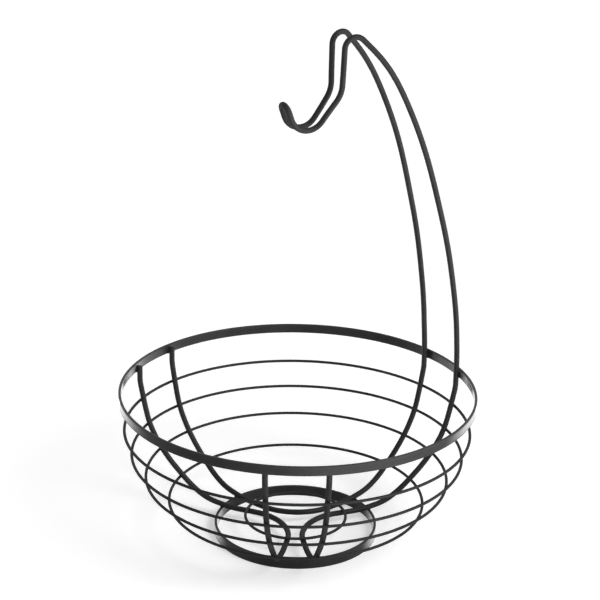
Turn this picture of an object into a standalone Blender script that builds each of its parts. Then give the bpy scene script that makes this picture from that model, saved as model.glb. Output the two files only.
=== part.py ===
"""Welded wire fruit bowl with a fixed banana hanger.

Metres, +Z up. The bowl stands on Z = 0 with its axis on Z.
The hanger rises from the rim on the +Y side.
"""
import math

import bmesh
import bpy
import numpy as np

MM = 0.001

# Bands: flat strip bent on edge into a ring
RIM_RADIUS = 139.0 * MM
RIM_BAND_HEIGHT = 7.5 * MM
RIM_BAND_THICKNESS = 2.0 * MM
BASE_RADIUS = 64.3 * MM
BASE_BAND_HEIGHT = 8.8 * MM
BASE_BAND_THICKNESS = 2.0 * MM
BAND_EDGE_RADIUS = 0.5 * MM

# Overall heights, from the table
BOWL_HEIGHT = 122.5 * MM
HANGER_HEIGHT = 401.8 * MM

# Wire sizes
RIB_WIRE = 4.4 * MM
HOOP_WIRE = 2.3 * MM
FLOOR_RING_WIRE = 2.3 * MM
WIRE_END_BEVEL = 0.4 * MM

# Distance left between two pieces at a weld, and under a rib where it slopes over the base band
WELD_GAP = 0.3 * MM
SEAT_GAP = 0.45 * MM

# Ribs: three pairs spread evenly, one wire on each side of the pair's direction
PAIR_COUNT = 3
RIB_HALF_ANGLE = math.radians(9.9)
RIB_END_DROP = 2.3 * MM
FLOOR_DIP = 1.75 * MM
FLOOR_FLAT_RADIUS = 43.0 * MM
FLOOR_BEND_RADIUS = 42.0 * MM
FLOOR_RING_RADIUS = 39.8 * MM

# Wall outline from the seat on the base band (0) to the straight top of a rib (1)
WALL_OUT_SHARES = (0.0, 0.147, 0.271, 0.385, 0.489, 0.622, 0.737, 0.819, 0.881, 0.923, 0.954, 0.983, 1.0)
WALL_UP_SHARES = (0.0, 0.026, 0.071, 0.133, 0.205, 0.307, 0.415, 0.512, 0.611, 0.714, 0.813, 0.914, 1.0)
WALL_TOP_SHARE = 0.913

# Part of the way and of the rise, short of the seat, where the floor starts to climb
FLOOR_EASE_SHARE = 0.333

# Heights where the ribs cross the four thin hoops, as shares of the bowl's height
HOOP_HEIGHT_SHARES = (0.7434, 0.5787, 0.4212, 0.2535)

# Hanger: mast outline from the rim (0) to where the top bend starts (1)
MAST_OUT_SHARES = (1.0, 0.993, 0.975, 0.944, 0.904, 0.824, 0.730, 0.606, 0.505, 0.442)
MAST_UP_SHARES = (0.0, 0.081, 0.182, 0.281, 0.381, 0.528, 0.673, 0.812, 0.899, 0.940)

# Half gap between the hanger's two wires, against the way along them from rim to tip
GAP_WAY_SHARES = (0.0, 0.06, 0.12, 0.22, 0.36, 0.49, 0.56, 0.63, 0.664, 0.70, 0.73, 0.765, 0.80,
                  0.833, 0.87, 0.90, 0.95, 1.0)
GAP_SHARES = (1.0, 1.018, 1.015, 0.978, 0.893, 0.799, 0.755, 0.700, 0.650, 0.555, 0.447, 0.390, 0.373,
              0.348, 0.297, 0.257, 0.235, 0.228)

# Top bend, leg and hook of the hanger, in its mirror plane
LEG_OFFSET = 28.5 * MM
TOP_BEND_RADIUS = 8.5 * MM
TOP_BEND_START = math.radians(134.5)
LEG_HEADING = math.radians(268.7)
LEG_LENGTH = 27.8 * MM
KNEE_RADIUS = 20.0 * MM
HOOK_HEADING = math.radians(231.6)
HOOK_RUN = 17.7 * MM
HOOK_RADIUS = 15.0 * MM
TIP_HEADING = math.radians(110.0)
TIP_RUN = 6.0 * MM

# Mesh fineness: wire sides, ring divisions, and how far a sweep may run or turn between two sections
WIRE_SIDES = 10
HOOP_SIDES = 8
HOOP_DIVISIONS = 64
RIM_DIVISIONS = 88
BASE_DIVISIONS = 60
FLOOR_RING_DIVISIONS = 40
EDGE_STEPS = 2
CURVE_STEPS = 16
ARC_STEPS = 32
SECTION_RUN = 12.0 * MM
SECTION_TURN = math.radians(12.0)
FINE_STEP = 0.5 * MM
SAME_POINT = 0.003 * MM
UPRIGHT_LIMIT = 0.1

COAT_COLOUR = (0.022, 0.024, 0.025, 1.0)
COAT_ROUGHNESS = 0.38
SMOOTH_LIMIT = math.radians(40.0)


def clear_scene():
    for item in list(bpy.data.objects):
        bpy.data.objects.remove(item, do_unlink=True)


def coat_material(name):
    material = bpy.data.materials.new(name + "_black_coat")
    material.use_nodes = True
    shader = material.node_tree.nodes["Principled BSDF"]
    shader.inputs["Base Color"].default_value = COAT_COLOUR
    shader.inputs["Roughness"].default_value = COAT_ROUGHNESS
    shader.inputs["Metallic"].default_value = 0.0
    return material


def add_object(name, vertices, faces):
    mesh = bpy.data.meshes.new(name)
    mesh.from_pydata([tuple(v) for v in vertices], [], faces)
    work = bmesh.new()
    work.from_mesh(mesh)
    bmesh.ops.recalc_face_normals(work, faces=work.faces)
    bmesh.ops.triangulate(work, faces=[f for f in work.faces if len(f.verts) > 4])
    work.to_mesh(mesh)
    work.free()
    mesh.shade_smooth()
    mesh.set_sharp_from_angle(angle=SMOOTH_LIMIT)
    mesh.materials.append(coat_material(name))
    item = bpy.data.objects.new(name, mesh)
    bpy.context.scene.collection.objects.link(item)
    return item


def spline(knots, start_tangent=None, end_tangent=None):
    """Smooth cubic curve through the knots, with a tangent given at either end or left free there."""
    knots = np.asarray(knots, float)
    runs = np.linalg.norm(np.diff(knots, axis=0), axis=1)
    count = len(knots)
    matrix = np.zeros((count, count))
    right = np.zeros_like(knots)
    for i in range(1, count - 1):
        matrix[i, i - 1] = runs[i]
        matrix[i, i] = 2.0 * (runs[i - 1] + runs[i])
        matrix[i, i + 1] = runs[i - 1]
        before = (knots[i] - knots[i - 1]) / runs[i - 1]
        after = (knots[i + 1] - knots[i]) / runs[i]
        right[i] = 3.0 * (runs[i] * before + runs[i - 1] * after)
    if start_tangent is None:
        matrix[0, 0], matrix[0, 1] = 2.0, 1.0
        right[0] = 3.0 * (knots[1] - knots[0]) / runs[0]
    else:
        matrix[0, 0] = 1.0
        right[0] = start_tangent
    if end_tangent is None:
        matrix[-1, -1], matrix[-1, -2] = 2.0, 1.0
        right[-1] = 3.0 * (knots[-1] - knots[-2]) / runs[-1]
    else:
        matrix[-1, -1] = 1.0
        right[-1] = end_tangent
    slopes = np.linalg.solve(matrix, right)
    points = []
    for i in range(count - 1):
        for t in np.linspace(0.0, 1.0, CURVE_STEPS, endpoint=False):
            square, cube = t * t, t * t * t
            low = (2 * cube - 3 * square + 1) * knots[i] + (cube - 2 * square + t) * runs[i] * slopes[i]
            high = (3 * square - 2 * cube) * knots[i + 1] + (cube - square) * runs[i] * slopes[i + 1]
            points.append(low + high)
    points.append(knots[-1])
    return np.array(points)


def sections_along(points):
    """Keep only as many points as the run and the turning of the path ask for."""
    points = np.asarray(points, float)
    steps = np.diff(points, axis=0)
    lengths = np.linalg.norm(steps, axis=1)
    keep = np.concatenate(([True], lengths > SAME_POINT))
    points = points[keep]
    steps = np.diff(points, axis=0)
    lengths = np.linalg.norm(steps, axis=1)
    headings = steps / lengths[:, None]
    turns = np.arccos(np.clip((headings[1:] * headings[:-1]).sum(axis=1), -1.0, 1.0))
    cost = lengths / SECTION_RUN
    cost[1:] += turns / SECTION_TURN
    total = np.concatenate(([0.0], np.cumsum(cost)))
    count = int(math.ceil(total[-1]))
    marks = np.linspace(0.0, total[-1], count + 1)
    return np.array([[np.interp(m, total, points[:, k]) for k in range(3)] for m in marks])


def frames_along(points):
    """A side direction at every point, carried along the path without twisting."""
    headings = np.gradient(points, axis=0)
    headings /= np.linalg.norm(headings, axis=1)[:, None]
    side = np.cross(headings[0], (0.0, 0.0, 1.0))
    if np.linalg.norm(side) < UPRIGHT_LIMIT:
        side = np.cross(headings[0], (0.0, 1.0, 0.0))
    sides = []
    for heading in headings:
        side = side - heading * side.dot(heading)
        side = side / np.linalg.norm(side)
        sides.append(side)
    return headings, np.array(sides)


def wire_object(name, path, wire):
    """A round wire along an open path, with both cut ends slightly bevelled."""
    points = sections_along(path)
    headings, sides = frames_along(points)
    rings = [(points[0], 0, wire / 2 - WIRE_END_BEVEL)]
    rings.append((points[0] + headings[0] * WIRE_END_BEVEL, 0, wire / 2))
    rings += [(points[i], i, wire / 2) for i in range(1, len(points) - 1)]
    rings.append((points[-1] - headings[-1] * WIRE_END_BEVEL, len(points) - 1, wire / 2))
    rings.append((points[-1], len(points) - 1, wire / 2 - WIRE_END_BEVEL))
    vertices = []
    for centre, i, radius in rings:
        across = np.cross(headings[i], sides[i])
        for k in range(WIRE_SIDES):
            angle = 2.0 * math.pi * k / WIRE_SIDES
            vertices.append(centre + radius * (math.cos(angle) * sides[i] + math.sin(angle) * across))
    faces = []
    for row in range(len(rings) - 1):
        for k in range(WIRE_SIDES):
            after = (k + 1) % WIRE_SIDES
            low, high = row * WIRE_SIDES, (row + 1) * WIRE_SIDES
            faces.append((low + k, low + after, high + after, high + k))
    faces.append(tuple(range(WIRE_SIDES)))
    faces.append(tuple(range((len(rings) - 1) * WIRE_SIDES, len(rings) * WIRE_SIDES)))
    return add_object(name, vertices, faces)


def ring_object(name, outline, divisions):
    """Turn a closed outline of (radius, height) points about the Z axis."""
    count = len(outline)
    vertices = []
    for i in range(divisions):
        angle = 2.0 * math.pi * i / divisions
        for radius, height in outline:
            vertices.append((radius * math.cos(angle), radius * math.sin(angle), height))
    faces = []
    for i in range(divisions):
        near, far = i * count, ((i + 1) % divisions) * count
        for k in range(count):
            after = (k + 1) % count
            faces.append((near + k, near + after, far + after, far + k))
    return add_object(name, vertices, faces)


def round_outline(radius, height, wire):
    """Outline of a round wire for a ring of the given mean radius."""
    outline = []
    for k in range(HOOP_SIDES):
        angle = 2.0 * math.pi * (k + 0.5) / HOOP_SIDES
        outline.append((radius + wire / 2 * math.cos(angle), height + wire / 2 * math.sin(angle)))
    return outline


def strip_outline(outer, low, high, thickness):
    """Outline of a flat strip standing on edge, with rounded edges."""
    edge = BAND_EDGE_RADIUS
    corners = ((outer - edge, high - edge, 0), (outer - thickness + edge, high - edge, 1),
               (outer - thickness + edge, low + edge, 2), (outer - edge, low + edge, 3))
    outline = []
    for radius, height, quarter in corners:
        for k in range(EDGE_STEPS):
            angle = math.pi / 2 * (quarter + k / (EDGE_STEPS - 1))
            outline.append((radius + edge * math.cos(angle), height + edge * math.sin(angle)))
    return outline


def rib_top_radius():
    """Centre line of a rib where it lies against the inside of the rim band."""
    return RIM_RADIUS - RIM_BAND_THICKNESS - WELD_GAP - RIB_WIRE / 2


def seat_point():
    """Centre line of a rib where it rests on the upper edge of the base band."""
    return BASE_RADIUS - BASE_BAND_THICKNESS / 2, BASE_BAND_HEIGHT + RIB_WIRE / 2 + SEAT_GAP


def rib_end_height():
    return BOWL_HEIGHT - RIB_END_DROP


def wall_outline():
    """Centre line of a rib as (radius, height), from the flat floor up to its cut end inside the rim."""
    seat_radius, seat_height = seat_point()
    floor = seat_height - FLOOR_DIP
    flat = (FLOOR_FLAT_RADIUS, floor)
    before_seat = (seat_radius - (seat_radius - FLOOR_FLAT_RADIUS) * FLOOR_EASE_SHARE,
                   floor + FLOOR_DIP * FLOOR_EASE_SHARE)
    knots = [flat, before_seat]
    top = rib_top_radius()
    straight = rib_end_height() * WALL_TOP_SHARE
    for out, up in zip(WALL_OUT_SHARES, WALL_UP_SHARES):
        radius = seat_radius + (top - seat_radius) * out
        knots.append((radius, seat_height + (straight - seat_height) * up))
    points = spline(knots, start_tangent=(1.0, 0.0), end_tangent=(0.0, 1.0))
    return np.vstack((points, [(top, rib_end_height())]))


def floor_height():
    return seat_point()[1] - FLOOR_DIP


def wall_at_height(outline, height):
    """Radius of the wall's centre line and the outward direction across it, at one height."""
    radius = float(np.interp(height, outline[:, 1], outline[:, 0]))
    step = FINE_STEP
    above = float(np.interp(height + step, outline[:, 1], outline[:, 0]))
    below = float(np.interp(height - step, outline[:, 1], outline[:, 0]))
    lean = math.hypot(2.0 * step, above - below)
    return radius, 2.0 * step / lean, (below - above) / lean


def around(radius, angle, height):
    return np.array((radius * math.cos(angle), radius * math.sin(angle), height))


def floor_bend(first_angle, last_angle):
    """The bend on the floor that joins two ribs of neighbouring pairs, as points between their arms."""
    half = (last_angle - first_angle) / 2.0
    middle = (last_angle + first_angle) / 2.0
    centre = around(FLOOR_BEND_RADIUS / math.sin(half), middle, floor_height())
    sweep = math.pi / 2 - half
    points = []
    for k in range(ARC_STEPS + 1):
        angle = middle + math.pi + sweep * (1.0 - 2.0 * k / ARC_STEPS)
        points.append(centre + around(FLOOR_BEND_RADIUS, angle, 0.0))
    return points


def rib_points(outline, angle):
    return [around(radius, angle, height) for radius, height in outline]


def pair_angle(index):
    """Direction of a pair of ribs. Pair 0 carries the mast on the +Y side."""
    return math.pi / 2 + 2.0 * math.pi * index / PAIR_COUNT


def heading_vector(heading):
    return np.array((math.cos(heading), math.sin(heading)))


def arc_points(start, from_heading, to_heading, radius):
    """An arc in the hanger's plane that starts with one heading and ends with another."""
    side = 1.0 if to_heading > from_heading else -1.0
    centre = start + side * radius * heading_vector(from_heading + math.pi / 2)
    points = []
    for heading in np.linspace(from_heading, to_heading, ARC_STEPS + 1):
        points.append(centre - side * radius * heading_vector(heading + math.pi / 2))
    return points


def hanger_outline(rim_out, rim_height):
    """Centre line of the hanger in its mirror plane, from the rim to the tip, as (outward, height)."""
    top_centre = np.array((LEG_OFFSET + TOP_BEND_RADIUS, HANGER_HEIGHT - RIB_WIRE / 2 - TOP_BEND_RADIUS))
    start = top_centre - TOP_BEND_RADIUS * heading_vector(TOP_BEND_START + math.pi / 2)
    knots = []
    for out, up in zip(MAST_OUT_SHARES, MAST_UP_SHARES):
        knots.append((rim_out * out, rim_height + (start[1] - rim_height) * up))
    knots.append(tuple(start))
    mast = spline(knots, start_tangent=(0.0, 1.0), end_tangent=heading_vector(TOP_BEND_START))
    points = list(mast)
    points += arc_points(points[-1], TOP_BEND_START, LEG_HEADING, TOP_BEND_RADIUS)[1:]
    points.append(points[-1] + LEG_LENGTH * heading_vector(LEG_HEADING))
    points += arc_points(points[-1], LEG_HEADING, HOOK_HEADING, KNEE_RADIUS)[1:]
    points.append(points[-1] + HOOK_RUN * heading_vector(HOOK_HEADING))
    points += arc_points(points[-1], HOOK_HEADING, TIP_HEADING, HOOK_RADIUS)[1:]
    points.append(points[-1] + TIP_RUN * heading_vector(TIP_HEADING))
    return np.array(points)


def even_points(points):
    """Points at even steps along a path, with each one's share of the whole way."""
    lengths = np.linalg.norm(np.diff(points, axis=0), axis=1)
    way = np.concatenate(([0.0], np.cumsum(lengths)))
    marks = np.linspace(0.0, way[-1], int(way[-1] / FINE_STEP) + 1)
    spread = np.column_stack([np.interp(marks, way, points[:, k]) for k in range(2)])
    return spread, marks / way[-1]


def half_gap_shares(ways):
    """Smooth reading of the gap table at each way share."""
    knots = np.column_stack((GAP_WAY_SHARES, GAP_SHARES))
    points = spline(knots)
    return np.interp(ways, points[:, 0], points[:, 1])


def hanger_side(outline):
    """One wire of the hanger from the rim to where the turn at the tip starts."""
    top = rib_top_radius()
    rim_height = BOWL_HEIGHT - RIM_BAND_HEIGHT / 2
    half_gap = top * math.sin(RIB_HALF_ANGLE)
    plane, ways = even_points(hanger_outline(top * math.cos(RIB_HALF_ANGLE), rim_height))
    gaps = half_gap * half_gap_shares(ways)
    return [np.array((gap, out, height)) for gap, (out, height) in zip(gaps, plane)]


def tip_turn(side):
    """The half round at the tip that joins the hanger's two wires."""
    end = side[-1]
    heading = heading_vector(TIP_HEADING)
    points = []
    for k in range(1, ARC_STEPS):
        angle = math.pi * k / ARC_STEPS
        reach = end[0] * math.sin(angle)
        out, up = end[1] + reach * heading[0], end[2] + reach * heading[1]
        points.append(np.array((end[0] * math.cos(angle), out, up)))
    return points


def build_bands():
    """The rim of the bowl and the ring it stands on, both of flat strip on edge."""
    rim = strip_outline(RIM_RADIUS, BOWL_HEIGHT - RIM_BAND_HEIGHT, BOWL_HEIGHT, RIM_BAND_THICKNESS)
    ring_object("rim_band", rim, RIM_DIVISIONS)
    base = strip_outline(BASE_RADIUS, 0.0, BASE_BAND_HEIGHT, BASE_BAND_THICKNESS)
    ring_object("base_band", base, BASE_DIVISIONS)


def build_hoops(outline):
    """Thin hoops welded to the outside of the ribs, numbered from the rim down."""
    apart = RIB_WIRE / 2 + HOOP_WIRE / 2 + WELD_GAP
    for number, share in enumerate(HOOP_HEIGHT_SHARES, 1):
        radius, outward, upward = wall_at_height(outline, share * BOWL_HEIGHT)
        ring = round_outline(radius + apart * outward, share * BOWL_HEIGHT + apart * upward, HOOP_WIRE)
        ring_object("hoop_%d" % number, ring, HOOP_DIVISIONS)


def build_floor_ring():
    """Thin ring lying on top of the ribs in the middle of the floor."""
    height = floor_height() + RIB_WIRE / 2 + WELD_GAP + FLOOR_RING_WIRE / 2
    ring = round_outline(FLOOR_RING_RADIUS, height, FLOOR_RING_WIRE)
    ring_object("floor_ring", ring, FLOOR_RING_DIVISIONS)


def build_front_rib(outline):
    """One wire that makes two ribs and the bend between them, opposite the mast."""
    first = pair_angle(1) + RIB_HALF_ANGLE
    last = pair_angle(2) - RIB_HALF_ANGLE
    path = rib_points(outline[::-1], first) + floor_bend(first, last) + rib_points(outline, last)
    wire_object("front_rib_wire", path, RIB_WIRE)


def build_hanger(outline):
    """One long wire: rib, floor bend, mast, hook, and the same again mirrored back to a rib."""
    first = pair_angle(2) + RIB_HALF_ANGLE - 2.0 * math.pi
    last = pair_angle(0) - RIB_HALF_ANGLE
    rim_height = BOWL_HEIGHT - RIM_BAND_HEIGHT / 2
    wall = outline[outline[:, 1] < rim_height - WELD_GAP]
    half = rib_points(outline[::-1], first) + floor_bend(first, last) + rib_points(wall, last)
    side = hanger_side(outline)
    half += side
    mirrored = [point * (-1.0, 1.0, 1.0) for point in half[::-1]]
    wire_object("hanger_wire", half + tip_turn(side) + mirrored, RIB_WIRE)


def build():
    clear_scene()
    outline = wall_outline()
    build_bands()
    build_hoops(outline)
    build_floor_ring()
    build_front_rib(outline)
    build_hanger(outline)


build()
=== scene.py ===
"""Wire bowl with a twin-wire hanger: bent wires, strip rings and welds in a black satin coat."""

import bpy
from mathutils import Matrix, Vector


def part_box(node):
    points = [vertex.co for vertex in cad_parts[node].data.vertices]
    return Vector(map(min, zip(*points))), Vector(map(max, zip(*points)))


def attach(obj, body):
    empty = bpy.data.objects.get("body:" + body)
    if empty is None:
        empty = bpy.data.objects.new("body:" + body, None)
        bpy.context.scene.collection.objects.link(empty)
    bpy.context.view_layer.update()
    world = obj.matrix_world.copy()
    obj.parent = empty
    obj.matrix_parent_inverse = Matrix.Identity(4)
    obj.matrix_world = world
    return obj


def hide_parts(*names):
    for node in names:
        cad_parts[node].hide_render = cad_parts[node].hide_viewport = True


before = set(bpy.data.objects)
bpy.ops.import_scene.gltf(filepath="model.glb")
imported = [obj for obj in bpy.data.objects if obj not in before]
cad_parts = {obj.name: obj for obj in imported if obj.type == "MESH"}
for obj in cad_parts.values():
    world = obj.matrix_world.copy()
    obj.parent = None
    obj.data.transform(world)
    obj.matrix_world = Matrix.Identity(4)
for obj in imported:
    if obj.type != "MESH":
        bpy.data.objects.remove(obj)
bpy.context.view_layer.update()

import math

import bmesh
import bpy
import numpy as np
from mathutils import Euler, Matrix, Vector

MM = 0.001
BODY = "root"
UPWARD = (0.0, 0.0, 1.0)
WHITE = (1.0, 1.0, 1.0, 1.0)

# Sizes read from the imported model, so that every piece lies on its solid
RIM_LOW, RIM_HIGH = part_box("rim_band")
BASE_LOW, BASE_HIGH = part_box("base_band")
RIM_RADIUS = RIM_HIGH.x
BOWL_HEIGHT = RIM_HIGH.z
RIM_BAND_HEIGHT = RIM_HIGH.z - RIM_LOW.z
BASE_RADIUS = BASE_HIGH.x
BASE_BAND_HEIGHT = BASE_HIGH.z - BASE_LOW.z

# Strip and wire sizes, how far the painted highlight of an edge reaches over a strip's face,
# and the gaps at the welds
BAND_THICKNESS = 2.0 * MM
BAND_EDGE_RADIUS = 0.5 * MM
EDGE_HIGHLIGHT_REACH = 2.4 * BAND_EDGE_RADIUS
RIB_RADIUS = 2.2 * MM
HOOP_RADIUS = 1.15 * MM
HANGER_HEIGHT = 401.8 * MM
WELD_GAP = 0.3 * MM
SEAT_GAP = 0.45 * MM

# Ribs: three pairs spread evenly, one wire on each side of the pair's direction, and the way
# that they take across the floor
PAIR_COUNT = 3
RIB_HALF_ANGLE = math.radians(9.9)
RIB_END_DROP = 2.3 * MM
FLOOR_DIP = 1.75 * MM
FLOOR_FLAT_RADIUS = 43.0 * MM
FLOOR_BEND_RADIUS = 42.0 * MM
FLOOR_RING_RADIUS = 39.8 * MM
FLOOR_EASE_SHARE = 0.333

# Wall of the bowl, from the seat on the base band (0) to the straight top of a rib (1)
WALL_OUT_SHARES = (0.0, 0.147, 0.271, 0.385, 0.489, 0.622, 0.737, 0.819, 0.881, 0.923, 0.954,
                   0.983, 1.0)
WALL_UP_SHARES = (0.0, 0.026, 0.071, 0.133, 0.205, 0.307, 0.415, 0.512, 0.611, 0.714, 0.813,
                  0.914, 1.0)
WALL_TOP_SHARE = 0.913
HOOP_HEIGHT_SHARES = (0.7434, 0.5787, 0.4212, 0.2535)

# Hanger: mast from the rim (0) to where the top bend starts (1), and the gap between its wires
MAST_OUT_SHARES = (1.0, 0.993, 0.975, 0.944, 0.904, 0.824, 0.730, 0.606, 0.505, 0.442)
MAST_UP_SHARES = (0.0, 0.081, 0.182, 0.281, 0.381, 0.528, 0.673, 0.812, 0.899, 0.940)
GAP_WAY_SHARES = (0.0, 0.06, 0.12, 0.22, 0.36, 0.49, 0.56, 0.63, 0.664, 0.70, 0.73, 0.765,
                  0.80, 0.833, 0.87, 0.90, 0.95, 1.0)
GAP_SHARES = (1.0, 1.018, 1.015, 0.978, 0.893, 0.799, 0.755, 0.700, 0.650, 0.555, 0.447, 0.390,
              0.373, 0.348, 0.297, 0.257, 0.235, 0.228)
LEG_OFFSET = 28.5 * MM
TOP_BEND_RADIUS = 8.5 * MM
TOP_BEND_START = math.radians(134.5)
LEG_HEADING = math.radians(268.7)
LEG_LENGTH = 27.8 * MM
KNEE_RADIUS = 20.0 * MM
HOOK_HEADING = math.radians(231.6)
HOOK_RUN = 17.7 * MM
HOOK_RADIUS = 15.0 * MM
TIP_HEADING = math.radians(110.0)
TIP_RUN = 6.0 * MM

# Fineness of the shown meshes, and the rounding of the wires' cut ends
CURVE_STEPS = 16
ARC_STEPS = 32
FINE_STEP = 0.5 * MM
PATH_STEP = 1.3 * MM
JOIN_MARGIN = 0.3 * MM
WIRE_SIDES = 24
HOOP_SIDES = 20
RING_POINTS = 288
EDGE_STEPS = 5
END_STEPS = 5
WIRE_END_ROUND = 0.55 * MM
SAME_POINT = 0.003 * MM
SMOOTH_LIMIT = math.radians(50.0)

# Welds: how far they reach along the rib and across it, how much a rim weld widens towards the
# band, and how deep the rims and the middles of the welds bite into each piece
CROSS_WELD_ALONG = 0.95 * MM
CROSS_WELD_ACROSS = 1.55 * MM
RIM_WELD_ALONG = 2.9 * MM
RIM_WELD_ACROSS = 1.7 * MM
RIM_WELD_SPREAD = 2.8
SEAT_WELD_ALONG = 0.5 * MM
SEAT_WELD_ACROSS = 1.25 * MM
WELD_BITE = 0.12 * MM
WELD_CORE_BITE = 3.0 * WELD_BITE
WELD_WAIST_SHARE = 0.16
WELD_CORNERS = 40
WELD_STEPS = 8
WELD_SEED = 7
WELD_SIZE_SPREAD = 0.06


# Paths of the wires

def spline(knots, start_tangent=None, end_tangent=None):
    """Smooth cubic curve through the knots. The tangent at each end is given or left free."""
    knots = np.asarray(knots, float)
    runs = np.linalg.norm(np.diff(knots, axis=0), axis=1)
    count = len(knots)
    matrix = np.zeros((count, count))
    right = np.zeros_like(knots)
    for i in range(1, count - 1):
        matrix[i, i - 1:i + 2] = runs[i], 2.0 * (runs[i - 1] + runs[i]), runs[i - 1]
        before = (knots[i] - knots[i - 1]) / runs[i - 1]
        after = (knots[i + 1] - knots[i]) / runs[i]
        right[i] = 3.0 * (runs[i] * before + runs[i - 1] * after)
    if start_tangent is None:
        matrix[0, :2] = 2.0, 1.0
        right[0] = 3.0 * (knots[1] - knots[0]) / runs[0]
    else:
        matrix[0, 0] = 1.0
        right[0] = start_tangent
    if end_tangent is None:
        matrix[-1, -2:] = 1.0, 2.0
        right[-1] = 3.0 * (knots[-1] - knots[-2]) / runs[-1]
    else:
        matrix[-1, -1] = 1.0
        right[-1] = end_tangent
    slopes = np.linalg.solve(matrix, right)
    points = []
    for i in range(count - 1):
        for t in np.linspace(0.0, 1.0, CURVE_STEPS, endpoint=False):
            square, cube = t * t, t * t * t
            low = ((2 * cube - 3 * square + 1) * knots[i]
                   + (cube - 2 * square + t) * runs[i] * slopes[i])
            high = ((3 * square - 2 * cube) * knots[i + 1]
                    + (cube - square) * runs[i] * slopes[i + 1])
            points.append(low + high)
    points.append(knots[-1])
    return np.array(points)


def way_along(points):
    lengths = np.linalg.norm(np.diff(points, axis=0), axis=1)
    return np.concatenate(([0.0], np.cumsum(lengths)))


def even_points(points, step):
    """Points at even steps along a path, with each one's share of the whole way."""
    points = np.asarray(points, float)
    way = way_along(points)
    marks = np.linspace(0.0, way[-1], int(way[-1] / step) + 1)
    return np.column_stack([np.interp(marks, way, column) for column in points.T]), marks / way[-1]


def around(radius, angle, height):
    return np.array((radius * math.cos(angle), radius * math.sin(angle), height))


def heading_vector(heading):
    return np.array((math.cos(heading), math.sin(heading)))


def pair_angle(index):
    """Direction of a pair of ribs. Pair 0 carries the mast on the +Y side."""
    return math.pi / 2 + 2.0 * math.pi * index / PAIR_COUNT


def rib_angles():
    return [pair_angle(i) + side * RIB_HALF_ANGLE
            for i in range(PAIR_COUNT) for side in (-1.0, 1.0)]


def rib_top_radius():
    return RIM_RADIUS - BAND_THICKNESS - WELD_GAP - RIB_RADIUS


def rib_end_height():
    return BOWL_HEIGHT - RIB_END_DROP


def seat_point():
    """Centre line of a rib where it rests on the upper edge of the base band."""
    return BASE_RADIUS - BAND_THICKNESS / 2, BASE_BAND_HEIGHT + RIB_RADIUS + SEAT_GAP


def floor_height():
    return seat_point()[1] - FLOOR_DIP


def wall_outline():
    """Centre line of a rib as (radius, height), from the flat floor to its cut end in the rim."""
    seat_radius, seat_height = seat_point()
    floor = floor_height()
    ease_radius = seat_radius - (seat_radius - FLOOR_FLAT_RADIUS) * FLOOR_EASE_SHARE
    knots = [(FLOOR_FLAT_RADIUS, floor), (ease_radius, floor + FLOOR_DIP * FLOOR_EASE_SHARE)]
    top = rib_top_radius()
    rise = rib_end_height() * WALL_TOP_SHARE - seat_height
    knots += [(seat_radius + (top - seat_radius) * out, seat_height + rise * up)
              for out, up in zip(WALL_OUT_SHARES, WALL_UP_SHARES)]
    points = spline(knots, start_tangent=(1.0, 0.0), end_tangent=(0.0, 1.0))
    return np.vstack((points, [(top, rib_end_height())]))


def wall_at_height(outline, height):
    """Radius of a rib's centre line at one height, and the direction across it as (outward, up)."""
    heights = (height, height + FINE_STEP, height - FINE_STEP)
    radius, above, below = np.interp(heights, outline[:, 1], outline[:, 0])
    lean = math.hypot(2.0 * FINE_STEP, above - below)
    return radius, 2.0 * FINE_STEP / lean, (below - above) / lean


def hoop_circle(outline, share):
    """Radius and height of a hoop's centre line, welded to the outside of the ribs."""
    radius, outward, upward = wall_at_height(outline, share * BOWL_HEIGHT)
    apart = RIB_RADIUS + HOOP_RADIUS + WELD_GAP
    return radius + apart * outward, share * BOWL_HEIGHT + apart * upward


def floor_ring_circle():
    """Radius and height of the floor ring's centre line, on top of the floor wires."""
    return FLOOR_RING_RADIUS, floor_height() + RIB_RADIUS + WELD_GAP + HOOP_RADIUS


def rib_points(outline, angle):
    return [around(radius, angle, height) for radius, height in outline]


def floor_bend(first_angle, last_angle):
    """The bend on the floor that joins two ribs of neighbouring pairs, as points between them."""
    half = (last_angle - first_angle) / 2.0
    middle = (last_angle + first_angle) / 2.0
    centre = around(FLOOR_BEND_RADIUS / math.sin(half), middle, floor_height())
    sweep = math.pi / 2 - half
    turns = np.linspace(sweep, -sweep, ARC_STEPS + 1)
    return [centre + around(FLOOR_BEND_RADIUS, middle + math.pi + turn, 0.0) for turn in turns]


def arc_points(start, from_heading, to_heading, radius):
    """An arc in the hanger's plane that starts with one heading and ends with another."""
    side = 1.0 if to_heading > from_heading else -1.0
    centre = start + side * radius * heading_vector(from_heading + math.pi / 2)
    headings = np.linspace(from_heading, to_heading, ARC_STEPS + 1)
    return [centre - side * radius * heading_vector(heading + math.pi / 2) for heading in headings]


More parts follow.
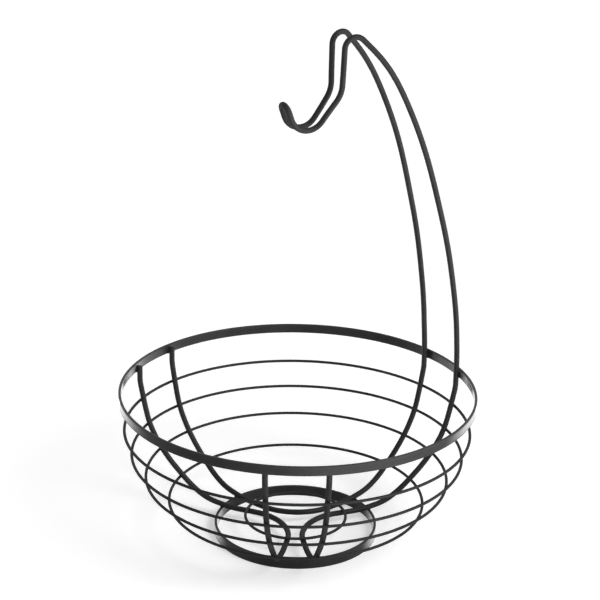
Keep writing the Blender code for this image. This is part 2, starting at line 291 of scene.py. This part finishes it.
def hanger_outline(rim_out, rim_height):
    """Centre line of the hanger in its mirror plane as (outward, height), from rim to tip."""
    top_centre = np.array((LEG_OFFSET + TOP_BEND_RADIUS,
                           HANGER_HEIGHT - RIB_RADIUS - TOP_BEND_RADIUS))
    start = top_centre - TOP_BEND_RADIUS * heading_vector(TOP_BEND_START + math.pi / 2)
    knots = [(rim_out * out, rim_height + (start[1] - rim_height) * up)
             for out, up in zip(MAST_OUT_SHARES, MAST_UP_SHARES)]
    knots.append(tuple(start))
    mast_end = heading_vector(TOP_BEND_START)
    points = list(spline(knots, start_tangent=(0.0, 1.0), end_tangent=mast_end))
    points += arc_points(points[-1], TOP_BEND_START, LEG_HEADING, TOP_BEND_RADIUS)[1:]
    points.append(points[-1] + LEG_LENGTH * heading_vector(LEG_HEADING))
    points += arc_points(points[-1], LEG_HEADING, HOOK_HEADING, KNEE_RADIUS)[1:]
    points.append(points[-1] + HOOK_RUN * heading_vector(HOOK_HEADING))
    points += arc_points(points[-1], HOOK_HEADING, TIP_HEADING, HOOK_RADIUS)[1:]
    points.append(points[-1] + TIP_RUN * heading_vector(TIP_HEADING))
    return np.array(points)


def hanger_side(rim_height):
    """One wire of the hanger from the rim to where the turn at the tip starts."""
    top = rib_top_radius()
    outline = hanger_outline(top * math.cos(RIB_HALF_ANGLE), rim_height)
    plane, ways = even_points(outline, FINE_STEP)
    table = spline(np.column_stack((GAP_WAY_SHARES, GAP_SHARES)))
    gaps = top * math.sin(RIB_HALF_ANGLE) * np.interp(ways, table[:, 0], table[:, 1])
    return [np.array((gap, out, height)) for gap, (out, height) in zip(gaps, plane)]


def tip_turn(end):
    """The half round at the tip that joins the hanger's two wires."""
    out, up = heading_vector(TIP_HEADING)
    angles = np.linspace(0.0, math.pi, ARC_STEPS + 1)[1:-1]
    turns = [np.array((math.cos(a) - 1.0, math.sin(a) * out, math.sin(a) * up)) for a in angles]
    return [end + end[0] * turn for turn in turns]


def front_rib_path(outline):
    """Two ribs and the bend on the floor between them, opposite the mast."""
    first = pair_angle(1) + RIB_HALF_ANGLE
    last = pair_angle(2) - RIB_HALF_ANGLE
    return rib_points(outline[::-1], first) + floor_bend(first, last) + rib_points(outline, last)


def hanger_path(outline):
    """Rib, floor bend, mast and hook on one side, then the same mirrored back to the last rib."""
    first = pair_angle(2) + RIB_HALF_ANGLE - 2.0 * math.pi
    last = pair_angle(0) - RIB_HALF_ANGLE
    rim_height = BOWL_HEIGHT - RIM_BAND_HEIGHT / 2
    wall = outline[outline[:, 1] < rim_height - JOIN_MARGIN]
    side = hanger_side(rim_height)
    half = rib_points(outline[::-1], first) + floor_bend(first, last)
    half += rib_points(wall, last) + side
    mirrored = [point * (-1.0, 1.0, 1.0) for point in half[::-1]]
    return half + tip_turn(side[-1]) + mirrored


# Geometry Nodes: a wire along a path, a section turned into a ring, and welds on marked places

def add_node(tree, kind, values=(), **settings):
    """A node with its settings, and its inputs linked to sockets or set to plain values."""
    node = tree.nodes.new(kind)
    for key, value in settings.items():
        setattr(node, key, value)
    for socket, value in dict(values).items():
        if isinstance(value, bpy.types.NodeSocket):
            tree.links.new(value, node.inputs[socket])
        else:
            node.inputs[socket].default_value = value
    return node


def reckoned(tree, operation, first, second, **settings):
    """Result of one step of arithmetic on numbers or sockets."""
    node = add_node(tree, "ShaderNodeMath", {0: first, 1: second}, operation=operation, **settings)
    return node.outputs[0]


def carried(tree, name, kind):
    """What the points of a drawn mesh carry under a name."""
    node = add_node(tree, "GeometryNodeInputNamedAttribute", {"Name": name}, data_type=kind)
    return node.outputs["Attribute"]


def new_tree(name, *inputs):
    tree = bpy.data.node_groups.new(name, "GeometryNodeTree")
    for label, kind in inputs:
        tree.interface.new_socket(label, in_out="INPUT", socket_type=kind)
    tree.interface.new_socket("Geometry", in_out="OUTPUT", socket_type="NodeSocketGeometry")
    return tree, tree.nodes.new("NodeGroupInput").outputs, tree.nodes.new("NodeGroupOutput")


def finish_tree(tree, geometry, coat, output):
    """Real geometry in its coat, as every tree ends."""
    real = add_node(tree, "GeometryNodeRealizeInstances", {"Geometry": geometry})
    coated = add_node(tree, "GeometryNodeSetMaterial",
                      {"Geometry": real.outputs[0], "Material": coat})
    tree.links.new(coated.outputs[0], output.inputs[0])
    return tree


def wire_tree():
    """Sweeps a round wire along a path whose points carry the wire's radius."""
    tree, given, output = new_tree(
        "bent_wire", ("Path", "NodeSocketGeometry"), ("Wire Sides", "NodeSocketInt"),
        ("Coat", "NodeSocketMaterial"))
    path = add_node(tree, "GeometryNodeMeshToCurve", {"Mesh": given["Path"]})
    circle = add_node(tree, "GeometryNodeCurvePrimitiveCircle",
                      {"Resolution": given["Wire Sides"], "Radius": 1.0})
    sweep = add_node(tree, "GeometryNodeCurveToMesh",
                     {"Curve": path.outputs[0], "Profile Curve": circle.outputs[0],
                      "Scale": carried(tree, "wire_radius", "FLOAT"), "Fill Caps": True})
    return finish_tree(tree, sweep.outputs[0], given["Coat"], output)


def ring_tree():
    """Carries a section, drawn as (radial, upward) from the ring's line, round the upright axis."""
    tree, given, output = new_tree(
        "section_ring", ("Section", "NodeSocketGeometry"), ("Ring Radius", "NodeSocketFloat"),
        ("Ring Height", "NodeSocketFloat"), ("Ring Points", "NodeSocketInt"),
        ("Coat", "NodeSocketMaterial"))
    section = add_node(tree, "GeometryNodeMeshToCurve", {"Mesh": given["Section"]})
    circle = add_node(tree, "GeometryNodeCurvePrimitiveCircle",
                      {"Resolution": given["Ring Points"], "Radius": given["Ring Radius"]})
    upright = add_node(tree, "GeometryNodeSetCurveNormal", {"Curve": circle.outputs[0]},
                       mode="Z_UP")
    sweep = add_node(tree, "GeometryNodeCurveToMesh",
                     {"Curve": upright.outputs[0], "Profile Curve": section.outputs[0]})
    height = add_node(tree, "ShaderNodeCombineXYZ", {"Z": given["Ring Height"]})
    lifted = add_node(tree, "GeometryNodeTransform",
                      {"Geometry": sweep.outputs[0], "Translation": height.outputs[0]})
    return finish_tree(tree, lifted.outputs[0], given["Coat"], output)


def weld_tree():
    """Sets one weld on each marked place, turned to its rib and varied a little in size."""
    tree, given, output = new_tree(
        "set_welds", ("Places", "NodeSocketGeometry"), ("Weld", "NodeSocketObject"),
        ("Size Spread", "NodeSocketFloat"), ("Seed", "NodeSocketInt"),
        ("Coat", "NodeSocketMaterial"))
    turn = add_node(tree, "FunctionNodeAxesToRotation",
                    {"Primary Axis": carried(tree, "away", "FLOAT_VECTOR"),
                     "Secondary Axis": carried(tree, "along", "FLOAT_VECTOR")},
                    primary_axis="Z", secondary_axis="X")
    size = add_node(tree, "FunctionNodeRandomValue", {"Seed": given["Seed"]},
                    data_type="FLOAT_VECTOR")
    for socket, operation in (("Min", "SUBTRACT"), ("Max", "ADD")):
        bound = reckoned(tree, operation, 1.0, given["Size Spread"])
        limits = add_node(tree, "ShaderNodeCombineXYZ", {"X": bound, "Y": bound, "Z": 1.0})
        tree.links.new(limits.outputs[0], size.inputs[socket])
    weld = add_node(tree, "GeometryNodeObjectInfo", {"Object": given["Weld"]})
    placed = add_node(tree, "GeometryNodeInstanceOnPoints",
                      {"Points": given["Places"], "Instance": weld.outputs["Geometry"],
                       "Rotation": turn.outputs[0], "Scale": size.outputs["Value"]})
    return finish_tree(tree, placed.outputs[0], given["Coat"], output)


def link_object(name, data):
    item = bpy.data.objects.new(name, data)
    bpy.context.scene.collection.objects.link(item)
    return item


def drawn_mesh(name, points, joined="line", **attributes):
    """A mesh that a tree reads: points in a "line", in a "loop" or "apart", and what they carry."""
    count = len(points)
    edges = [] if joined == "apart" else [(i, i + 1) for i in range(count - 1)]
    if joined == "loop":
        edges.append((count - 1, 0))
    mesh = bpy.data.meshes.new(name)
    mesh.from_pydata([tuple(map(float, point)) for point in points], edges, [])
    for label, values in attributes.items():
        values = np.asarray(values, np.float32)
        kind, field = ("FLOAT", "value") if values.ndim == 1 else ("FLOAT_VECTOR", "vector")
        mesh.attributes.new(label, kind, "POINT").data.foreach_set(field, values.ravel())
    return mesh


def close_mesh(mesh):
    """Merges doubles, turns every face outwards and keeps only real corners sharp."""
    work = bmesh.new()
    work.from_mesh(mesh)
    bmesh.ops.remove_doubles(work, verts=work.verts, dist=SAME_POINT)
    bmesh.ops.recalc_face_normals(work, faces=work.faces)
    work.to_mesh(mesh)
    work.free()
    mesh.shade_smooth()
    mesh.set_sharp_from_angle(angle=SMOOTH_LIMIT)


def made_by(tree, name, mesh, **inputs):
    """Runs a tree on a drawn mesh and keeps the result as a plain closed mesh."""
    item = link_object(name, mesh)
    modifier = item.modifiers.new(tree.name, "NODES")
    modifier.node_group = tree
    for socket in tree.interface.items_tree:
        key = socket.name.replace(" ", "_").lower()
        if socket.in_out == "INPUT" and key in inputs:
            modifier[socket.identifier] = inputs[key]
    bpy.context.view_layer.update()
    depsgraph = bpy.context.evaluated_depsgraph_get()
    result = bpy.data.meshes.new_from_object(item.evaluated_get(depsgraph))
    item.modifiers.clear()
    item.data = result
    close_mesh(result)
    return item


# Pieces

def strip_section(height, thickness):
    """Section of a flat strip on edge, with rounded edges, drawn about its middle.

    The second list says how near each point is to an edge, from 0 to 1."""
    edge = BAND_EDGE_RADIUS
    half_wide, half_high = thickness / 2 - edge, height / 2 - edge
    corners = ((half_wide, half_high), (-half_wide, half_high),
               (-half_wide, -half_high), (half_wide, -half_high))
    points, nearness = [], []
    for quarter, (across, up) in enumerate(corners):
        for step in range(EDGE_STEPS + 1):
            angle = math.pi / 2 * (quarter + step / EDGE_STEPS)
            points.append((across + edge * math.cos(angle), up + edge * math.sin(angle), 0.0))
            nearness.append(1.0)
        if quarter % 2:
            side_x, side_y, _ = points[-1]
            face = 2.0 * half_high
            for way in (edge, EDGE_HIGHLIGHT_REACH, half_high, face - EDGE_HIGHLIGHT_REACH, face - edge):
                points.append((side_x, side_y * (1.0 - way / half_high), 0.0))
                nearness.append(max(0.0, 1.0 - min(way, face - way) / EDGE_HIGHLIGHT_REACH))
    return points, nearness


def round_section(radius):
    angles = np.linspace(0.0, 2.0 * math.pi, HOOP_SIDES, endpoint=False)
    return [(radius * math.cos(a), radius * math.sin(a), 0.0) for a in angles]


def make_band(tree, node, outer, coat):
    """A flat strip on edge, bent into a ring over the height of its solid."""
    low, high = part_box(node)
    section, nearness = strip_section(high.z - low.z, BAND_THICKNESS)
    mesh = drawn_mesh(node, section, "loop", edge=nearness)
    return made_by(tree, node + "_strip", mesh, ring_radius=outer - BAND_THICKNESS / 2,
                   ring_height=(low.z + high.z) / 2, ring_points=RING_POINTS, coat=coat)


def make_hoop(tree, node, radius, height, coat):
    mesh = drawn_mesh(node, round_section(HOOP_RADIUS), "loop")
    return made_by(tree, node + "_ring", mesh, ring_radius=radius, ring_height=height,
                   ring_points=RING_POINTS, coat=coat)


def make_wire(tree, name, path, coat):
    """A round wire with both cut ends rounded over."""
    points, _ = even_points(path, PATH_STEP)
    way = way_along(points)
    total = way[-1]
    turns = np.linspace(0.0, math.pi / 2, END_STEPS + 1)
    ways_in = WIRE_END_ROUND * (1.0 - np.cos(turns))
    radii_in = RIB_RADIUS - WIRE_END_ROUND * (1.0 - np.sin(turns))
    inner = way[(way > WIRE_END_ROUND) & (way < total - WIRE_END_ROUND)]
    ways = np.concatenate((ways_in, inner, total - ways_in[::-1]))
    radii = np.concatenate((radii_in, np.full(len(inner), RIB_RADIUS), radii_in[::-1]))
    line = np.column_stack([np.interp(ways, way, column) for column in points.T])
    mesh = drawn_mesh(name, line, wire_radius=radii)
    return made_by(tree, name, mesh, wire_sides=WIRE_SIDES, coat=coat)


def weld_shape(name, along, across, apart, other_radius=0.0, lean=0.0, spread=1.0):
    """A waisted fillet between a rib, along X at the origin, and a piece that lies apart along Z.

    The other piece is a wire along Y where it has a radius, and otherwise flat, leaning along the
    rib. Spread says how many times wider the fillet is at the other piece than at the rib."""
    work = bmesh.new()
    rings = [[] for _ in range(WELD_STEPS + 1)]
    for corner in range(WELD_CORNERS):
        angle = 2.0 * math.pi * corner / WELD_CORNERS
        x, y = along * math.cos(angle), across * math.sin(angle)
        low = math.sqrt(RIB_RADIUS ** 2 - y ** 2) - WELD_BITE
        high = apart + lean * x + WELD_BITE
        if other_radius:
            high -= math.sqrt(other_radius ** 2 - x ** 2)
        for step in range(WELD_STEPS + 1):
            share = step / WELD_STEPS
            narrow = 1.0 - WELD_WAIST_SHARE * math.sin(math.pi * share)
            wide = narrow * (1.0 + (spread - 1.0) * share)
            rings[step].append(work.verts.new((x * narrow, y * wide, low + (high - low) * share)))
    for lower, upper in zip(rings, rings[1:]):
        for corner in range(WELD_CORNERS):
            after = (corner + 1) % WELD_CORNERS
            work.faces.new((lower[corner], lower[after], upper[after], upper[corner]))
    low_end = work.verts.new((0.0, 0.0, RIB_RADIUS - WELD_CORE_BITE))
    high_end = work.verts.new((0.0, 0.0, apart - other_radius + WELD_CORE_BITE))
    for ring, end in ((rings[0], low_end), (rings[-1], high_end)):
        for corner in range(WELD_CORNERS):
            work.faces.new((ring[corner], ring[(corner + 1) % WELD_CORNERS], end))
    bmesh.ops.recalc_face_normals(work, faces=work.faces)
    mesh = bpy.data.meshes.new(name)
    work.to_mesh(mesh)
    work.free()
    return link_object(name, mesh)


def set_welds(tree, name, shape, places, coat):
    """One piece that holds all the welds of a kind. Each place is (point, away, along)."""
    points, away, along = zip(*places)
    mesh = drawn_mesh(name, points, "apart", away=np.array(away), along=np.array(along))
    piece = made_by(tree, name, mesh, weld=shape, size_spread=WELD_SIZE_SPREAD, seed=WELD_SEED,
                    coat=coat)
    bpy.data.objects.remove(shape)
    return piece


def cross_weld_places(outline):
    """Where the ribs cross the four hoops and the floor ring."""
    places = []
    for share in HOOP_HEIGHT_SHARES:
        height = share * BOWL_HEIGHT
        radius, outward, upward = wall_at_height(outline, height)
        places += [(around(radius, angle, height), around(outward, angle, upward),
                    around(-upward, angle, outward)) for angle in rib_angles()]
    places += [(around(FLOOR_RING_RADIUS, angle, floor_height()), UPWARD, around(1.0, angle, 0.0))
               for angle in rib_angles()]
    return places


def rim_weld_places():
    """Along the inside of the rim band, on the part of each rib that lies against it."""
    middle = (BOWL_HEIGHT - RIM_BAND_HEIGHT + rib_end_height()) / 2
    return [(around(rib_top_radius(), angle, middle), around(1.0, angle, 0.0), UPWARD)
            for angle in rib_angles()]


def seat_slope(outline):
    """How steeply a rib rises where it passes over the base band, as an angle."""
    radius = seat_point()[0]
    low, high = np.interp((radius - FINE_STEP, radius + FINE_STEP), outline[:, 0], outline[:, 1])
    return math.atan2(high - low, 2.0 * FINE_STEP)


def seat_weld_places(outline):
    """Under each rib, on the upper edge of the base band."""
    radius, height = seat_point()
    slope = seat_slope(outline)
    return [(around(radius, angle, height), around(math.sin(slope), angle, -math.cos(slope)),
             around(math.cos(slope), angle, math.sin(slope))) for angle in rib_angles()]


# Coat materials

# Colours in the coat's dark and light clouds; on the welds, painted darker as painted shade for
# the contact shadow where the pieces meet; and the painted highlight along a strip's edges
COAT_SHADES = ((0.0165, 0.0165, 0.0169, 1.0), (0.0235, 0.0235, 0.0239, 1.0))
WELD_PAINTED_SHADE_COLOURS = ((0.0070, 0.0070, 0.0072, 1.0), (0.0120, 0.0120, 0.0123, 1.0))
EDGE_HIGHLIGHT_COLOUR = (0.045, 0.045, 0.046, 1.0)
EDGE_HIGHLIGHT_SHARE = 0.3

# Finishes: roughness in the coat's smooth and rough clouds, and the scale of its orange peel
STRIP_FINISH = (0.30, 0.38, 480.0)
WIRE_FINISH = (0.32, 0.40, 560.0)
HOOP_FINISH = (0.33, 0.41, 700.0)
WELD_FINISH = (0.38, 0.50, 900.0)
STRIP_SPECULAR = 0.13
WIRE_SPECULAR = 0.10
PEEL_DEPTH = 0.022 * MM

# Noises of the coat as (detail, roughness), their scales, and the spans of them that are put to use
PEEL_NOISE = (1.5, 0.45)
PEEL_SCALE = 520.0
GRAIN_NOISE = (1.0, 0.5)
GRAIN_SCALE = 2400.0
GRAIN_SHARE = 0.3
CLOUD_NOISE = (3.0, 0.55)
CLOUD_SCALE = 45.0
CLOUD_SPAN = (0.32, 0.68)
BREAK_NOISE = (4.0, 0.6)
BREAK_SCALE = 160.0
BREAK_AMOUNT = 0.6
BREAK_SPAN = (0.35, 0.65)

# Low angles, from 0 where a face is seen straight on to 1 where it is seen edge on: the span in
# which a strip's face turns to a bright sheen, and the span in which a wire turns dull
FACING_BLEND = 0.5
SHEEN_COLOUR = (0.65, 0.65, 0.655, 1.0)
SHEEN_ROUGHNESS = 0.14
SHEEN_SPAN = (0.49, 0.86)
DULL_ROUGHNESS = 1.0
DULL_SPAN = (0.45, 0.85)

# Sockets of a Mix node: first, second and result
MIX_SOCKETS = {"FLOAT": (2, 3, 0), "RGBA": (6, 7, 2)}


def mixed(tree, kind, share, first, second):
    """A blend by a share of two numbers, "FLOAT", or of two colours, "RGBA"."""
    start, end, result = MIX_SOCKETS[kind]
    node = add_node(tree, "ShaderNodeMix", {0: share, start: first, end: second}, data_type=kind)
    return node.outputs[result]


def spanned(tree, value, span=(0.0, 1.0), onto=(0.0, 1.0), **settings):
    """A span of a value, mapped onto another one and held at its ends outside it."""
    limits = dict(enumerate((*span, *onto), 1))
    return add_node(tree, "ShaderNodeMapRange", {0: value, **limits}, **settings).outputs[0]


def noise(group, given, scale, kind):
    """A noise over the group's own vector, at the scale that one of its inputs gives."""
    detail, roughness = kind
    node = add_node(group, "ShaderNodeTexNoise", {"Vector": given["Vector"], "Scale": given[scale],
                                                  "Detail": detail, "Roughness": roughness})
    return node.outputs[0]


def shader_group(name, inputs, outputs):
    """A group with a Vector input, number inputs with their usual values, and number outputs."""
    group = bpy.data.node_groups.new(name, "ShaderNodeTree")
    group.interface.new_socket("Vector", in_out="INPUT", socket_type="NodeSocketVector")
    for label, value in inputs:
        socket = group.interface.new_socket(label, in_out="INPUT", socket_type="NodeSocketFloat")
        socket.default_value = value
    for label in outputs:
        group.interface.new_socket(label, in_out="OUTPUT", socket_type="NodeSocketFloat")
    return group, group.nodes.new("NodeGroupInput").outputs, group.nodes.new("NodeGroupOutput")


def coat_skin_group():
    """The cured coat's surface: a low orange peel, a finer grain on it, and slow cloudy changes."""
    group, given, output = shader_group(
        "coat_skin",
        (("Peel Scale", PEEL_SCALE), ("Grain Scale", GRAIN_SCALE), ("Grain Share", GRAIN_SHARE),
         ("Cloud Scale", CLOUD_SCALE)),
        ("Height", "Cloud"))
    peel = noise(group, given, "Peel Scale", PEEL_NOISE)
    grain = noise(group, given, "Grain Scale", GRAIN_NOISE)
    height = mixed(group, "FLOAT", given["Grain Share"], peel, grain)
    cloud = spanned(group, noise(group, given, "Cloud Scale", CLOUD_NOISE), CLOUD_SPAN,
                    interpolation_type="SMOOTHSTEP")
    group.links.new(height, output.inputs["Height"])
    group.links.new(cloud, output.inputs["Cloud"])
    return group


def painted_edge_highlight_group():
    """Painted highlight along a strip's edges, broken up so that the line isn't even."""
    group, given, output = shader_group(
        "thin_edge",
        (("Edge", 0.0), ("Break Scale", BREAK_SCALE), ("Break Amount", BREAK_AMOUNT)),
        ("Mask",))
    patch = spanned(group, noise(group, given, "Break Scale", BREAK_NOISE), BREAK_SPAN)
    lack = reckoned(group, "SUBTRACT", 1.0, patch)
    cut = reckoned(group, "MULTIPLY", lack, given["Break Amount"])
    keep = reckoned(group, "SUBTRACT", 1.0, cut)
    mask = reckoned(group, "MULTIPLY", keep, given["Edge"])
    group.links.new(mask, output.inputs["Mask"])
    return group


def low_angle(tree, span):
    """Rises from 0 to 1 as a face is seen at a lower and lower angle."""
    slant = add_node(tree, "ShaderNodeLayerWeight", {"Blend": FACING_BLEND})
    return spanned(tree, slant.outputs["Facing"], span, interpolation_type="SMOOTHSTEP")


def strip_face(tree, shader, relief, highlight_paint, near, colour, roughness):
    """Paints a highlight along a strip's edges, and turns its faces to a sheen at a low angle."""
    # Painted highlight: the strip's colour is paled along its rounded edges
    share = reckoned(tree, "MULTIPLY", highlight_paint.outputs["Mask"], EDGE_HIGHLIGHT_SHARE)
    colour = mixed(tree, "RGBA", share, colour, EDGE_HIGHLIGHT_COLOUR)
    flat = reckoned(tree, "SUBTRACT", 1.0, near)
    sheen = reckoned(tree, "MULTIPLY", low_angle(tree, SHEEN_SPAN), flat)
    tree.links.new(sheen, shader.inputs["Metallic"])
    strength = reckoned(tree, "SUBTRACT", 1.0, sheen, use_clamp=True)
    tree.links.new(strength, relief.inputs["Strength"])
    return (mixed(tree, "RGBA", sheen, colour, SHEEN_COLOUR),
            mixed(tree, "FLOAT", sheen, roughness, SHEEN_ROUGHNESS))


def coat_material(name, skin, finish, specular, shades=COAT_SHADES, highlight_group=None):
    """Black satin coat. Its colour, roughness and surface change gently.

    With an edge-highlight group it is a strip's coat, with a painted highlight along its edges.
    Without one it is a round wire's, and looks duller at a low angle."""
    *roughnesses, peel_scale = finish
    material = bpy.data.materials.new(name)
    material.use_nodes = True
    tree = material.node_tree
    shader = tree.nodes["Principled BSDF"]
    shader.inputs["Specular IOR Level"].default_value = specular
    place = add_node(tree, "ShaderNodeTexCoord").outputs["Object"]
    surface = add_node(tree, "ShaderNodeGroup", {"Vector": place, "Peel Scale": peel_scale},
                       node_tree=skin).outputs
    colour = mixed(tree, "RGBA", surface["Cloud"], *shades)
    roughness = spanned(tree, surface["Cloud"], onto=roughnesses)
    relief = add_node(tree, "ShaderNodeBump", {"Height": surface["Height"], "Strength": 1.0,
                                               "Distance": PEEL_DEPTH})
    if highlight_group:
        # A strip's coat: a painted highlight along its edges, and a sheen at a low angle
        near = add_node(tree, "ShaderNodeAttribute", attribute_name="edge").outputs["Fac"]
        highlight_paint = add_node(tree, "ShaderNodeGroup", {"Vector": place, "Edge": near}, node_tree=highlight_group)
        colour, roughness = strip_face(tree, shader, relief, highlight_paint, near, colour, roughness)
    else:
        dull = low_angle(tree, DULL_SPAN)
        roughness = mixed(tree, "FLOAT", dull, roughness, DULL_ROUGHNESS)
    tree.links.new(colour, shader.inputs["Base Color"])
    tree.links.new(roughness, shader.inputs["Roughness"])
    tree.links.new(relief.outputs[0], shader.inputs["Normal"])
    return material


# Stage: floor, world, lights and camera

CAMERA_PLACE = (1.230164, -0.719005, 0.739386)
CAMERA_HEADING = math.radians(59.68991)
CAMERA_PITCH = math.radians(20.84867)
CAMERA_ROLL = math.radians(1.18242)
CAMERA_LENS = 119.8826
CAMERA_SENSOR = 36.0
FLOOR_HALF = 12.0
FLOOR_COLOUR = (0.93, 0.93, 0.93, 1.0)
FLOOR_GLOW = 0.38
WORLD_LIGHT = 0.34
WORLD_SHOWN = 1.0
KEY_STRENGTH = 1.25
KEY_FROM = (0.665, 0.251, 0.70)
KEY_SPREAD = math.radians(24.0)
SIDE_STRENGTH = 1.55
SIDE_FROM = (0.80, 0.72, 0.22)
SIDE_SPREAD = math.radians(50.0)
FRONT_CARD_PLACE = (1.1135, 0.4555, 0.003)
FRONT_CARD_SIZE = (1.627, 1.431)
FRONT_CARD_TURN = 0.0
FRONT_CARD_POWER = 32.0
BACK_CARD_PLACE = (-0.1468, 0.0858, 0.003)
BACK_CARD_SIZE = (0.40, 0.14)
BACK_CARD_TURN = CAMERA_HEADING
BACK_CARD_POWER = 0.7037


def seen_directly(tree):
    """1 for what the camera, a reflection or a clear body shows, and 0 for light on a surface."""
    path = add_node(tree, "ShaderNodeLightPath").outputs
    mirrored = reckoned(tree, "MAXIMUM", path["Is Camera Ray"], path["Is Glossy Ray"])
    return reckoned(tree, "MAXIMUM", mirrored, path["Is Transmission Ray"])


def make_world():
    """Soft light from all round, and plain white where it is looked at."""
    world = bpy.data.worlds.new("studio")
    bpy.context.scene.world = world
    world.use_nodes = True
    tree = world.node_tree
    tree.nodes.clear()
    lit, shown = (add_node(tree, "ShaderNodeBackground", {"Color": WHITE, "Strength": strength})
                  for strength in (WORLD_LIGHT, WORLD_SHOWN))
    mix = add_node(tree, "ShaderNodeMixShader",
                   {0: seen_directly(tree), 1: lit.outputs[0], 2: shown.outputs[0]})
    output = add_node(tree, "ShaderNodeOutputWorld")
    tree.links.new(mix.outputs[0], output.inputs[0])


def make_floor():
    """A pale floor that takes the shadow, with a little glow of its own where it is looked at."""
    mesh = bpy.data.meshes.new("floor")
    corners = [(x * FLOOR_HALF, y * FLOOR_HALF, 0.0)
               for x, y in ((-1, -1), (1, -1), (1, 1), (-1, 1))]
    mesh.from_pydata(corners, [], [(0, 1, 2, 3)])
    floor = link_object("floor", mesh)
    material = bpy.data.materials.new("pale_floor")
    material.use_nodes = True
    tree = material.node_tree
    tree.nodes.clear()
    paint = add_node(tree, "ShaderNodeBsdfDiffuse", {"Color": FLOOR_COLOUR})
    strength = reckoned(tree, "MULTIPLY", seen_directly(tree), FLOOR_GLOW)
    glow = add_node(tree, "ShaderNodeEmission", {"Strength": strength})
    both = add_node(tree, "ShaderNodeAddShader", {0: paint.outputs[0], 1: glow.outputs[0]})
    output = add_node(tree, "ShaderNodeOutputMaterial")
    tree.links.new(both.outputs[0], output.inputs[0])
    mesh.materials.append(material)


def make_sun(name, towards, strength, spread):
    light = bpy.data.lights.new(name, "SUN")
    light.energy = strength
    light.angle = spread
    sun = link_object(name, light)
    sun.rotation_euler = Vector(towards).to_track_quat("Z", "Y").to_euler()


def make_card(name, place, size, turn, power):
    """A lit card that lies face up, not seen itself, for the strips to mirror."""
    light = bpy.data.lights.new(name, "AREA")
    light.shape = "RECTANGLE"
    light.size, light.size_y = size
    light.energy = power
    card = link_object(name, light)
    card.visible_camera = False
    card.location = place
    card.rotation_euler = (math.pi, 0.0, turn)


def make_camera():
    data = bpy.data.cameras.new("camera")
    data.lens = CAMERA_LENS
    data.sensor_width = CAMERA_SENSOR
    camera = link_object("camera", data)
    aim = Euler((math.pi / 2 - CAMERA_PITCH, 0.0, CAMERA_HEADING)).to_matrix().to_4x4()
    roll = Matrix.Rotation(CAMERA_ROLL, 4, "Z")
    camera.matrix_world = Matrix.Translation(CAMERA_PLACE) @ aim @ roll
    bpy.context.scene.camera = camera


def make_stage():
    bpy.context.scene.view_settings.view_transform = "Standard"
    make_camera()
    make_world()
    make_floor()
    make_sun("key", KEY_FROM, KEY_STRENGTH, KEY_SPREAD)
    make_sun("side", SIDE_FROM, SIDE_STRENGTH, SIDE_SPREAD)
    make_card("front_card", FRONT_CARD_PLACE, FRONT_CARD_SIZE, FRONT_CARD_TURN, FRONT_CARD_POWER)
    make_card("back_card", BACK_CARD_PLACE, BACK_CARD_SIZE, BACK_CARD_TURN, BACK_CARD_POWER)


# The bowl, piece by piece

def keep_piece(piece, slot, *nodes):
    """Gives a piece its body and hides the solids that it stands for.

    The slot, for its finish, is not used.
    """
    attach(piece, BODY)
    if nodes:
        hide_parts(*nodes)


def make_rings(outline, band_coat, hoop_coat):
    """The rim band, the base band, the four hoops and the floor ring."""
    tree = ring_tree()
    for node, outer in (("rim_band", RIM_RADIUS), ("base_band", BASE_RADIUS)):
        keep_piece(make_band(tree, node, outer, band_coat), node + "_coat", node)
    circles = {"hoop_%d" % number: hoop_circle(outline, share)
               for number, share in enumerate(HOOP_HEIGHT_SHARES, 1)}
    circles["floor_ring"] = floor_ring_circle()
    for node, circle in circles.items():
        keep_piece(make_hoop(tree, node, *circle, hoop_coat), node + "_coat", node)


def make_wires(outline, coat):
    """The front wire with its two ribs, and the long wire of the hanger."""
    tree = wire_tree()
    front = make_wire(tree, "front_rib_bent_wire", front_rib_path(outline), coat)
    keep_piece(front, "front_rib_wire_coat", "front_rib_wire")
    hanger = make_wire(tree, "hanger_bent_wire", hanger_path(outline), coat)
    keep_piece(hanger, "hanger_wire_coat", "hanger_wire")


def make_welds(outline, coat):
    """The small fillets where the wires, hoops and strips meet."""
    tree = weld_tree()
    cross = weld_shape("cross_weld", CROSS_WELD_ALONG, CROSS_WELD_ACROSS,
                       RIB_RADIUS + WELD_GAP + HOOP_RADIUS, other_radius=HOOP_RADIUS)
    rim = weld_shape("rim_weld", RIM_WELD_ALONG, RIM_WELD_ACROSS, RIB_RADIUS + WELD_GAP,
                     spread=RIM_WELD_SPREAD)
    seat = weld_shape("seat_weld", SEAT_WELD_ALONG, SEAT_WELD_ACROSS, RIB_RADIUS + SEAT_GAP,
                      lean=math.tan(seat_slope(outline)))
    for name, shape, places in (("hoop_welds", cross, cross_weld_places(outline)),
                                ("rim_welds", rim, rim_weld_places()),
                                ("seat_welds", seat, seat_weld_places(outline))):
        keep_piece(set_welds(tree, name, shape, places, coat), "hanger_wire_coat")


def make_bowl():
    skin, highlight_group = coat_skin_group(), painted_edge_highlight_group()
    band_coat = coat_material("strip_coat", skin, STRIP_FINISH, STRIP_SPECULAR, highlight_group=highlight_group)
    wire_coat = coat_material("wire_coat", skin, WIRE_FINISH, WIRE_SPECULAR)
    hoop_coat = coat_material("hoop_coat", skin, HOOP_FINISH, WIRE_SPECULAR)
    # The welds' coat is painted darker: painted shade for the contact shadow where the pieces meet
    weld_coat = coat_material("weld_coat", skin, WELD_FINISH, WIRE_SPECULAR, WELD_PAINTED_SHADE_COLOURS)
    outline = wall_outline()
    make_rings(outline, band_coat, hoop_coat)
    make_wires(outline, wire_coat)
    make_welds(outline, weld_coat)


make_stage()
make_bowl()
